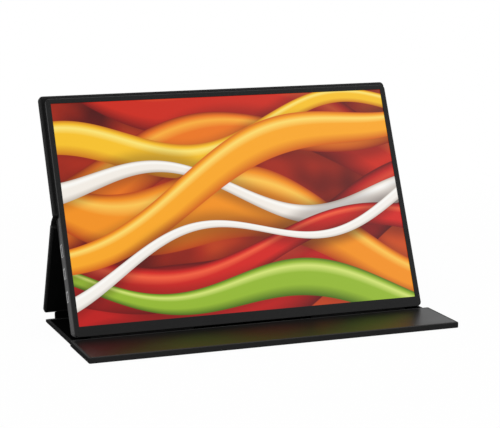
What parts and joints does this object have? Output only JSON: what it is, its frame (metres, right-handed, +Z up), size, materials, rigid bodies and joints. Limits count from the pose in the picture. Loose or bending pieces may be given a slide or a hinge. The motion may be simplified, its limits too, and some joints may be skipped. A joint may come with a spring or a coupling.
{
  "type": "portable monitor with folio cover",
  "caption": "Slim portable monitor leaning back on a folding black folio cover that forms its base, leg and front flap.",
  "frame": {"origin": "on the table, in the middle of the object's footprint box", "axes": "+X to the right across the screen, +Y to the back, +Z up; the screen faces -Y"},
  "size_m": [0.3662, 0.1754, 0.2189],
  "materials": {
    "cover_skin": "fine-grained black coated leather",
    "cover_lining": "smooth satin black lining",
    "stiffener": "grey board",
    "magnet": "nickel plated",
    "bezel": "fine matte black",
    "shell": "satin dark grey",
    "screen": "lit picture behind a matte film",
    "backlight": "white films",
    "steel": "plain sheet steel",
    "screw": "blackened",
    "socket_metal": "plated",
    "circuit_board": "solder mask",
    "dark_plastic": "moulded",
    "button": "satin",
    "foot_rubber": "matt"
  },
  "bodies": {
    "base": {"base_skin": "cover_skin", "base_board": "stiffener", "base_lining": "cover_lining", "base_magnets": "magnet", "front_fold_strip": "cover_skin"},
    "flap": {"flap_skin": "cover_skin", "flap_board": "stiffener", "flap_lining": "cover_lining"},
    "spine": {"spine_strip": "cover_skin"},
    "strut": {"strut_skin": "cover_skin", "strut_board": "stiffener", "strut_lining": "cover_lining", "mid_fold_strip": "cover_skin"},
    "monitor": {"front_bezel": "bezel", "lcd_panel": "screen", "backlight_unit": "backlight", "back_shell": "shell", "keeper_plate": "steel", "chassis_plate": "steel", "main_board": "circuit_board", "shield_can": "steel", "power_socket": "socket_metal", "data_socket": "socket_metal", "video_socket": "socket_metal", "audio_socket": "dark_plastic", "button_board": "circuit_board", "rocker_pin": "steel", "speaker_left": "dark_plastic", "speaker_right": "dark_plastic", "back_screws": "screw", "board_screws": "screw", "foot_strip_left": "foot_rubber", "foot_strip_right": "foot_rubber", "back_panel_skin": "cover_skin", "back_panel_board": "stiffener", "back_panel_lining": "cover_lining", "back_magnets": "magnet"},
    "power_button": {"power_button": "button"},
    "menu_rocker": {"menu_rocker": "button"}
  },
  "joints": [
    {"name": "flap_fold", "type": "hinge", "parent": "base", "child": "flap", "pos_m": [0, -0.02035, 0.00045], "axis": [-1, 0, 0], "range_deg": [0, 38]},
    {"name": "spine_fold", "type": "hinge", "parent": "base", "child": "spine", "pos_m": [0, 0.07965, 0.0011], "axis": [-1, 0, 0], "range_deg": [0, 60]},
    {"name": "strut_fold", "type": "hinge", "parent": "spine", "child": "strut", "pos_m": [0, 0.07965, 0.0078], "axis": [-1, 0, 0], "range_deg": [0, 12]},
    {"name": "back_fold", "type": "hinge", "parent": "strut", "child": "monitor", "pos_m": [0, 0.03949, 0.10964], "axis": [1, 0, 0], "range_deg": [0, 18]},
    {"name": "power_press", "type": "slide", "parent": "monitor", "child": "power_button", "axis": [-1, 0, 0], "range_m": [0, 0.0005], "stiffness_N_per_m": 400},
    {"name": "menu_rock", "type": "hinge", "parent": "monitor", "child": "menu_rocker", "pos_m": [0.1744, 0.01384, 0.06001], "axis": [0, 0.9114, -0.4115], "range_deg": [-4, 4], "stiffness_Nm_per_rad": 0.05}
  ],
  "couplings": [
    {"joint": "back_fold", "follows": "strut_fold", "ratio": 1.5}
  ]
}
